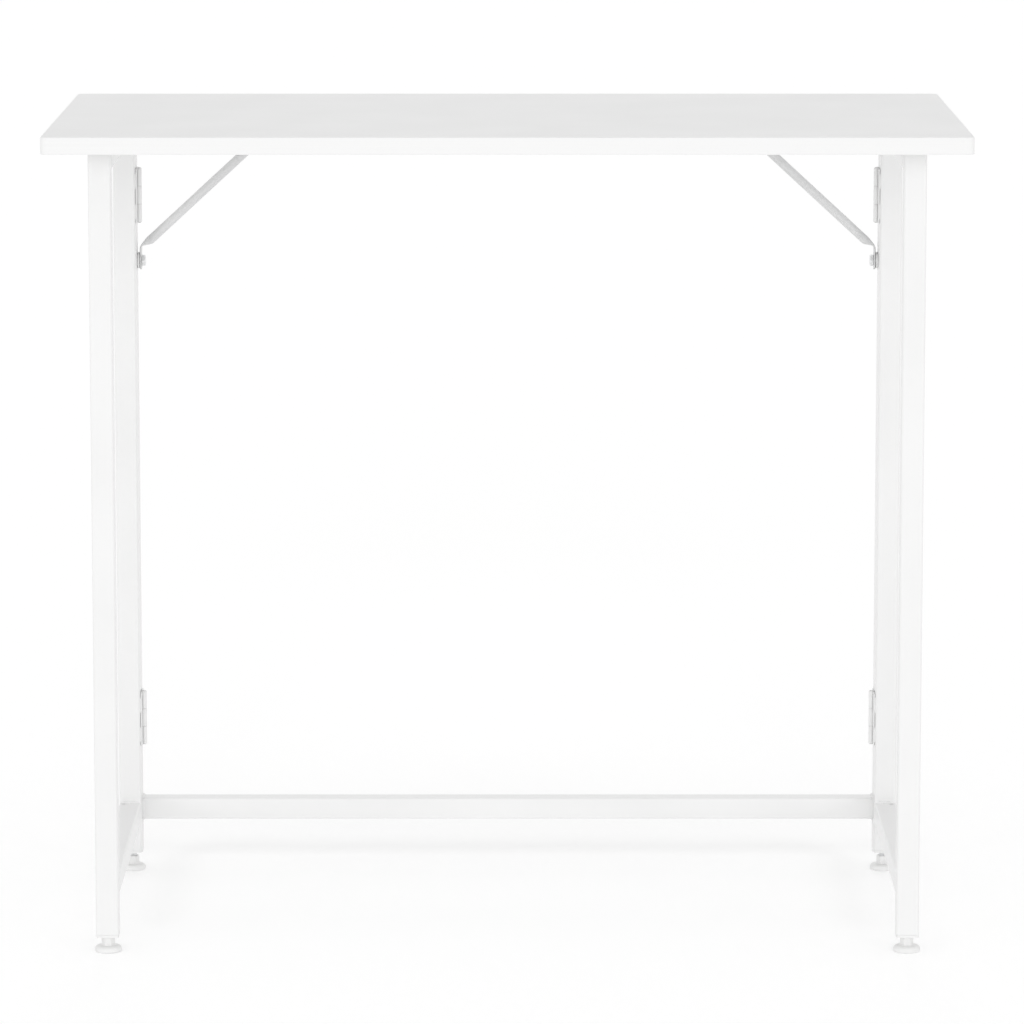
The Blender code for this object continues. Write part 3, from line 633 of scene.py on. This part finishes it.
def knuckleSkin(low, high, direction, side):
    shape = hingeShape
    half, ease, leadSteps = shape["thickness"] / 2, shape["ease"], shape["leadSteps"]
    roll = shape["knuckle"] - half
    sweep = np.linspace(-quarterTurn, -quarterTurn - fullTurn + shape["rollShort"], shape["rollSteps"])
    leadStart = shape["knuckle"] + shape["gap"] + shape["leadSink"]    # inside the plate
    lead = np.linspace(leadStart, shape["leadEnd"], leadSteps)
    thinner = np.concatenate([np.full(leadSteps, shape["leadThinner"]), np.zeros(len(sweep))])
    lineU = np.concatenate([lead, roll * np.cos(sweep)])
    lineW = np.concatenate([np.full(leadSteps, -roll), roll * np.sin(sweep)])
    outU = np.concatenate([np.zeros(leadSteps), np.cos(sweep)])
    outW = np.concatenate([-np.ones(leadSteps), np.sin(sweep)])
    middle = ease * easeMiddle
    inset = np.array([ease, middle, 0, 0, middle, ease])[:, None]
    height = np.array([low, low + middle, low + ease, high - ease, high - middle, high])[:, None]
    outer = half - inset - thinner
    u = np.concatenate([lineU + outer * outU, (lineU - outer * outU)[:, ::-1]], 1)
    w = np.concatenate([lineW + outer * outW, (lineW - outer * outW)[:, ::-1]], 1)
    return skin(np.stack([-side * w, direction * u, np.broadcast_to(height, u.shape)], -1))


def leafSkins(spans, length, direction, side):
    shape = hingeShape
    edge = shape["knuckle"] + shape["gap"]
    inset, height = easedWall(shape["thickness"], shape["ease"], shape["easeSteps"], hairGap)
    plate = squareRings(shape["width"] - edge, length, shape["plateCorner"], inset, height)
    across = direction * ((edge + shape["width"]) / 2 + plate[..., 0])
    flat = np.stack([side * (shape["knuckle"] - plate[..., 2]), across, plate[..., 1] + length / 2], -1)
    return [skin(flat)] + [knuckleSkin(low, high, direction, side) for low, high in spans]


def pinRings(length):
    shape = hingeShape
    head, rise = shape["headRadius"], shape["headHeight"]
    turn = np.linspace(0, quarterTurn, shape["headRows"] + 1)[1:]
    dome = np.concatenate([head * np.sin(turn), [head * shape["headRim"], shape["pinRadius"]]])
    lift = np.concatenate([rise * (1 - np.cos(turn)) * shape["headDome"], [rise, rise]])
    return turnedRings(np.concatenate([dome, dome[::-1]]), np.concatenate([lift, length - lift[::-1]]),
                       shape["pinColumns"])


pinLow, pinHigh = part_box("right_upper_hinge_pin")
hingeX = (pinLow.x + pinHigh.x) / 2
hingeY = (pinLow.y + pinHigh.y) / 2
for word, side in sides:
    for place in ("upper", "lower"):
        hinge = word + "_" + place + "_hinge_"
        low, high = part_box(hinge + "frame_leaf")
        length = high.z - low.z
        knuckle = (length - 2 * hingeShape["gap"]) / 3
        starts = np.arange(3) * (knuckle + hingeShape["gap"])
        spans = np.stack([starts, starts + knuckle], -1)
        axisPlace = np.array([side * hingeX, hingeY, low.z])
        for leaf, taken, direction in (("frame_leaf", spans[[0, 2]], 1), ("leg_leaf", spans[[1]], -1)):
            skins = [(points + axisPlace, quads, ends)
                     for points, quads, ends in leafSkins(taken, length, direction, side)]
            standFor(hinge + leaf, skins, powderCoat, hingeShape["crease"])
        pinLow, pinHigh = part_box(hinge + "pin")
        pin = placed(pinRings(pinHigh.z - pinLow.z), "z", (side * hingeX, hingeY, pinLow.z))
        standFor(hinge + "pin", [skin(pin)], powderCoat)
print("hinges made")


# Pivots. Bolt: a hexagon cut by a cone, so that the chamfer leaves arcs on its flats, with a washer face and
# a shank. Spacer: a turned ring with eased rims.
pivotShape = {
    "across": 0.010, "headHeight": 0.0034, "headRest": 0.0006, "topRadius": 0.0045, "topFlat": 0.0006,
    "coneRise": 0.0013, "conePower": 1.3, "coneRows": 12, "washerShare": 0.97, "washerHeight": 0.0003,
    "shank": 0.003, "tipInset": 0.0005, "tipLength": 0.0006, "boltColumns": 96, "boltCrease": 30,
    "spacerRadius": 0.0075, "spacerBore": 0.0033, "spacerEase": 0.0003, "spacerSteps": 4, "spacerColumns": 64,
}


def boltRings(length):
    shape = pivotShape
    head, across, top, shank = shape["headHeight"], shape["across"], shape["topRadius"], shape["shank"]
    corner = across / math.sqrt(3)
    washer = across / 2 * shape["washerShare"]
    washerStart = head - shape["washerHeight"]
    share = np.linspace(0, 1, shape["coneRows"])
    radius = np.concatenate([
        [top - shape["topFlat"]], top + (corner - top) * share,
        [corner, corner, washer, washer, shank, shank, shank - shape["tipInset"]]])
    height = np.concatenate([
        [0], hairGap + shape["coneRise"] * share ** shape["conePower"],
        [head - shape["headRest"], washerStart, washerStart, head, head,
         length - shape["tipLength"], length]])
    return turnedRings(radius, height, shape["boltColumns"], np.full(len(radius), across))


def spacerRings(thickness):
    shape = pivotShape
    inset, height = easedWall(thickness, shape["spacerEase"], shape["spacerSteps"], hairGap)
    radius = np.concatenate([shape["spacerRadius"] - inset, [shape["spacerBore"]] * 2])
    return turnedRings(radius, np.concatenate([height, [thickness, 0]]), shape["spacerColumns"])


for word, side in sides:
    low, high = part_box(word + "_pivot_bolt")
    centreY, centreZ = (low.y + high.y) / 2, (low.z + high.z) / 2
    bolt = boltRings(high.x - low.x) * np.array([1, 1, side])
    bolt = placed(bolt, "x", (low.x if side > 0 else high.x, centreY, centreZ))
    standFor(word + "_pivot_bolt", [skin(bolt)], zinc, pivotShape["boltCrease"])
    low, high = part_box(word + "_pivot_spacer")
    spacer = placed(spacerRings(high.x - low.x), "x", (low.x, centreY, centreZ))
    standFor(word + "_pivot_spacer", [skin(spacer, closed=True)], plastic)
    frame["nodes"][word + "_pivot_nut"].material_slots[0].material = zinc
print("pivot bolts and spacers made")


# Braces: a flattened and bent tube. Its heading is constant on the straights and turns evenly on the bends,
# and its line is the running sum of the heading's cosine and sine. A section is a rounded ellipse whose half
# width is the half thickness plus a quarter turn of what was pressed flat, so the girth stays.
braceShape = {
    "pivotX": 0.3407, "radius": 0.0041, "flat": 0.0009, "tip": 0.0085, "bendRise": 0.01347, "reach": 0.1327,
    "rise": 0.1358, "foot": 0.030, "bendRadius": 0.006, "blend": 0.0105, "sink": 0.6, "squareness": 2.0,
    "endStart": 0.08, "endRows": 14, "bendRows": 12, "blendRows": 26, "straightRows": 6, "lineSteps": 6000,
    "columns": 48,
}


def smooth(share):
    share = np.clip(share, 0, 1)
    return share * share * (3 - 2 * share)


# Running sum of a rate over even steps, each step taken at the mean of its two ends.
def runningSum(rate, step):
    return np.concatenate([[0], np.cumsum((rate[1:] + rate[:-1]) / 2 * step)])


def braceRings(side, place):
    shape = braceShape
    radius, flat, bend, blend = shape["radius"], shape["flat"], shape["bendRadius"], shape["blend"]
    climb = shape["rise"] - shape["bendRise"]
    slope, length = math.atan2(climb, shape["reach"]), math.hypot(climb, shape["reach"])
    lowerCut = bend * math.tan((quarterTurn - slope) / 2)
    upperCut = bend * math.tan(slope / 2)
    runs = [shape["tip"] + shape["bendRise"] - lowerCut, bend * (quarterTurn - slope),
            length - lowerCut - upperCut, bend * slope, shape["foot"] - upperCut]
    marks = np.concatenate([[0], np.cumsum(runs)])
    total = marks[-1]
    wide = flat + (radius - flat) * quarterTurn
    end = wide * (1 - np.cos(np.linspace(shape["endStart"], quarterTurn, shape["endRows"])))
    lowerBend, upperBend = marks[1:3].mean(), marks[3:5].mean()
    along = np.unique(np.concatenate([
        end,
        np.linspace(marks[1], marks[2], shape["bendRows"]),
        np.linspace(lowerBend, lowerBend + blend, shape["blendRows"]),
        np.linspace(lowerBend + blend, upperBend - blend, shape["straightRows"]),
        np.linspace(upperBend - blend, upperBend, shape["blendRows"]),
        np.linspace(marks[3], marks[4], shape["bendRows"]),
        total - end]))
    fine = np.linspace(0, total, shape["lineSteps"])
    heading = np.interp(fine, marks, [quarterTurn, quarterTurn, slope, slope, 0, 0])
    lineIn = runningSum(np.cos(heading), fine[1])
    lineUp = runningSum(np.sin(heading), fine[1]) - shape["tip"]
    inward, upward, turn = (np.interp(along, fine, values) for values in (lineIn, lineUp, heading))
    fullness = smooth((along - lowerBend) / blend) * smooth((upperBend - along) / blend)    # 1 where round
    half = flat + (radius - flat) * fullness
    width = half + (radius - half) * quarterTurn
    nearEnd = np.clip(np.minimum(along, total - along) / wide, 0, 1)
    width = width * np.sqrt(1 - (1 - nearEnd) ** 2)
    sink = shape["sink"] * (half - flat)
    inward = inward + sink * np.sin(turn)
    upward = upward - sink * np.cos(turn)
    power = 1 / (1 + shape["squareness"] * (1 - half / radius))
    angle = (np.arange(shape["columns"]) * (fullTurn / shape["columns"]))[None, :]
    across = np.sign(np.cos(angle)) * np.abs(np.cos(angle)) ** power[:, None] * half[:, None]
    sideways = np.sign(np.sin(angle)) * np.abs(np.sin(angle)) ** power[:, None] * width[:, None]
    x = -side * (inward[:, None] - across * np.sin(turn)[:, None])
    z = upward[:, None] + across * np.cos(turn)[:, None]
    return np.stack([x, sideways, z], -1) + np.array(place)


# Screw head: height falls from the crown as a circle does, less a cross recess where a point lies within half
# an arm's width of either arm and inside the arm's length. Then the rim, the shank and the point.
screwShape = {
    "head": 0.0035, "headHeight": 0.0022, "crown": 0.0012, "crownShare": 0.98, "pole": 0.0004, "rows": 40,
    "columns": 96, "arm": 0.0019, "armWidth": 0.0008, "armWall": 0.00012, "armEnd": 0.0005, "recess": 0.0011,
    "recessTaper": 0.3, "neck": 0.0002, "shank": 0.00175, "point": 0.003, "pointRadius": 0.0004, "crease": 50,
    "holeRadius": 0.00205,
}


def screwRings(length):
    shape = screwShape
    head, shank, neck, columns = shape["head"], shape["shank"], shape["neck"], shape["columns"]
    angle = (np.arange(columns) + 0.5) * (fullTurn / columns)
    reach = head * np.sqrt(np.linspace(shape["pole"], 1, shape["rows"]))[:, None]
    x, y = reach * np.cos(angle), reach * np.sin(angle)
    crown = shape["crown"] * (1 - np.sqrt(1 - shape["crownShare"] * (reach / head) ** 2))
    nearArm = np.minimum(np.abs(x), np.abs(y))
    inArm = smooth((shape["armWidth"] / 2 - nearArm) / shape["armWall"] + 0.5)
    inArm = inArm * smooth((shape["arm"] - reach) / shape["armEnd"])
    recess = shape["recess"] * inArm * (1 - shape["recessTaper"] * reach / shape["arm"])
    top = np.stack([x, y, crown + recess], -1)
    under = shape["headHeight"]
    radius = [head, shank + neck, shank, shank, shape["pointRadius"]]
    height = [under, under, under + neck, length - shape["point"], length]
    return np.concatenate([top, turnedRings(radius, height, columns)])


for word, side in sides:
    boltLow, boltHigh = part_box(word + "_pivot_bolt")
    pivotY, pivotZ = (boltLow.y + boltHigh.y) / 2, (boltLow.z + boltHigh.z) / 2
    pivot = np.array([side * braceShape["pivotX"], pivotY, pivotZ])
    brace = standFor(word + "_brace", [skin(braceRings(side, pivot))], braceCoat)
    drill(brace, pivotShape["spacerBore"], "x", [pivot])
    screwPlaces = []
    for place in ("inner", "outer"):
        node = word + "_brace_" + place + "_screw"
        low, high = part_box(node)
        middle = ((low.x + high.x) / 2, (low.y + high.y) / 2, low.z)
        screwPlaces.append((middle[0], middle[1], pivot[2] + braceShape["rise"]))
        screw = placed(screwRings(high.z - low.z), "z", middle)
        standFor(node, [skin(screw)], zinc, screwShape["crease"])
    drill(brace, screwShape["holeRadius"], "z", screwPlaces)
print("braces and screws made")


# Floor and world. The floor is a lit table: a plain shade, which keeps the desk's shadow, and a soft glow. To
# the lens, to reflections and through clear things the glow rises until the two add up to white, and the
# world is white too. Otherwise the world is a plain soft light.
studio = {"floorHalf": 40.0, "floorShade": (0.80, 0.80, 0.80), "floorGlow": 0.13, "seenGlow": 0.23,
          "skyLight": 0.79}
lamps = {    # strength, spread, turn from the front and height, in degrees
    "leftLamp": (0.31, 14, -38, 4),
    "rightLamp": (0.31, 14, 38, 4),
    "keyLamp": (0.32, 16, 0, 14),
    "backLamp": (0.34, 16, 180, 12),
    "leftFloorLamp": (0.28, 13, -22, 28),
    "rightFloorLamp": (0.28, 13, 22, 28),
    "topFloorLamp": (0.11, 35, 0, 66),
}
floorShadows = {    # the lamps that light the floor alone, and the pieces that throw their shadows
    "leftFloorLamp": ("rearCrossbar", "leftBottomRail", "leftFrontFootPad", "leftRearFootPad"),
    "rightFloorLamp": ("rearCrossbar", "rightBottomRail", "rightFrontFootPad", "rightRearFootPad"),
    "topFloorLamp": ("tabletopBoard", "tabletopEdgeBand"),
}


# 1 for rays from the lens, in reflections and through clear things, and 0 for light that falls on the desk.
def seenRay(tree):
    path = tree.nodes.new("ShaderNodeLightPath")
    seen = path.outputs["Is Camera Ray"]
    for name in ("Is Glossy Ray", "Is Transmission Ray"):
        either = tree.nodes.new("ShaderNodeMath")
        either.operation = "MAXIMUM"
        tree.links.new(seen, either.inputs[0])
        tree.links.new(path.outputs[name], either.inputs[1])
        seen = either.outputs["Value"]
    return seen


def addFloor():
    half = studio["floorHalf"]
    corner = np.array([[-half, -half, 0], [half, -half, 0], [half, half, 0], [-half, half, 0]])
    mesh = bpy.data.meshes.new("floor")
    mesh.from_pydata(corner.tolist(), [], [[0, 1, 2, 3]])
    floor = bpy.data.objects.new("floor", mesh)
    bpy.context.scene.collection.objects.link(floor)
    finish = bpy.data.materials.new("paleFloor")
    finish.use_nodes = True
    tree = finish.node_tree
    tree.nodes.remove(tree.nodes["Principled BSDF"])
    glow = tree.nodes.new("ShaderNodeEmission")
    level = tree.nodes.new("ShaderNodeMapRange")
    level.inputs["To Min"].default_value = studio["floorGlow"]
    level.inputs["To Max"].default_value = studio["seenGlow"]
    tree.links.new(seenRay(tree), level.inputs["Value"])
    tree.links.new(level.outputs["Result"], glow.inputs["Strength"])
    shade = tree.nodes.new("ShaderNodeBsdfDiffuse")
    shade.inputs["Color"].default_value = (*studio["floorShade"], 1)
    both = tree.nodes.new("ShaderNodeAddShader")
    tree.links.new(glow.outputs["Emission"], both.inputs[0])
    tree.links.new(shade.outputs["BSDF"], both.inputs[1])
    tree.links.new(both.outputs["Shader"], tree.nodes["Material Output"].inputs["Surface"])
    mesh.materials.append(finish)


def groupOf(name, pieces):
    group = bpy.data.collections.new(name)
    for piece in pieces:
        group.objects.link(bpy.data.objects[piece])
    return group


def lightStudio():
    world = bpy.data.worlds.new("studio")
    bpy.context.scene.world = world
    world.use_nodes = True
    tree = world.node_tree
    plain = tree.nodes["Background"]
    level = studio["skyLight"]
    plain.inputs["Color"].default_value = (level, level, level, 1)
    white = tree.nodes.new("ShaderNodeBackground")
    white.inputs["Color"].default_value = (1, 1, 1, 1)
    mix = tree.nodes.new("ShaderNodeMixShader")
    tree.links.new(seenRay(tree), mix.inputs["Fac"])
    tree.links.new(plain.outputs["Background"], mix.inputs[1])
    tree.links.new(white.outputs["Background"], mix.inputs[2])
    tree.links.new(mix.outputs["Shader"], tree.nodes["World Output"].inputs["Surface"])
    for name, (strength, spread, turn, height) in lamps.items():
        lamp = bpy.data.lights.new(name, "SUN")
        lamp.energy = strength
        lamp.angle = math.radians(spread)
        holder = bpy.data.objects.new(name, lamp)
        holder.rotation_euler = (math.radians(90 - height), 0, math.radians(turn))
        holder.visible_glossy = False    # the white room is what shines in the desk
        if name in floorShadows:
            holder.light_linking.receiver_collection = groupOf(name + "Lit", ["floor"])
            holder.light_linking.blocker_collection = groupOf(name + "Shadow", floorShadows[name])
        bpy.context.scene.collection.objects.link(holder)


cameraView = {"place": (0.004, -5.1805, 1.1805), "pitch": 8.883, "lens": 204.24, "sensor": 36,
              "farthest": 200}


def addCamera():
    lens = bpy.data.cameras.new("camera")
    lens.lens = cameraView["lens"]
    lens.sensor_width = cameraView["sensor"]
    lens.clip_end = cameraView["farthest"]
    holder = bpy.data.objects.new("camera", lens)
    holder.location = cameraView["place"]
    holder.rotation_euler = (math.radians(90 - cameraView["pitch"]), 0, 0)
    bpy.context.scene.collection.objects.link(holder)
    bpy.context.scene.camera = holder


addFloor()
lightStudio()
addCamera()
bpy.context.scene.view_settings.view_transform = "Standard"
print("floor, light and camera set")
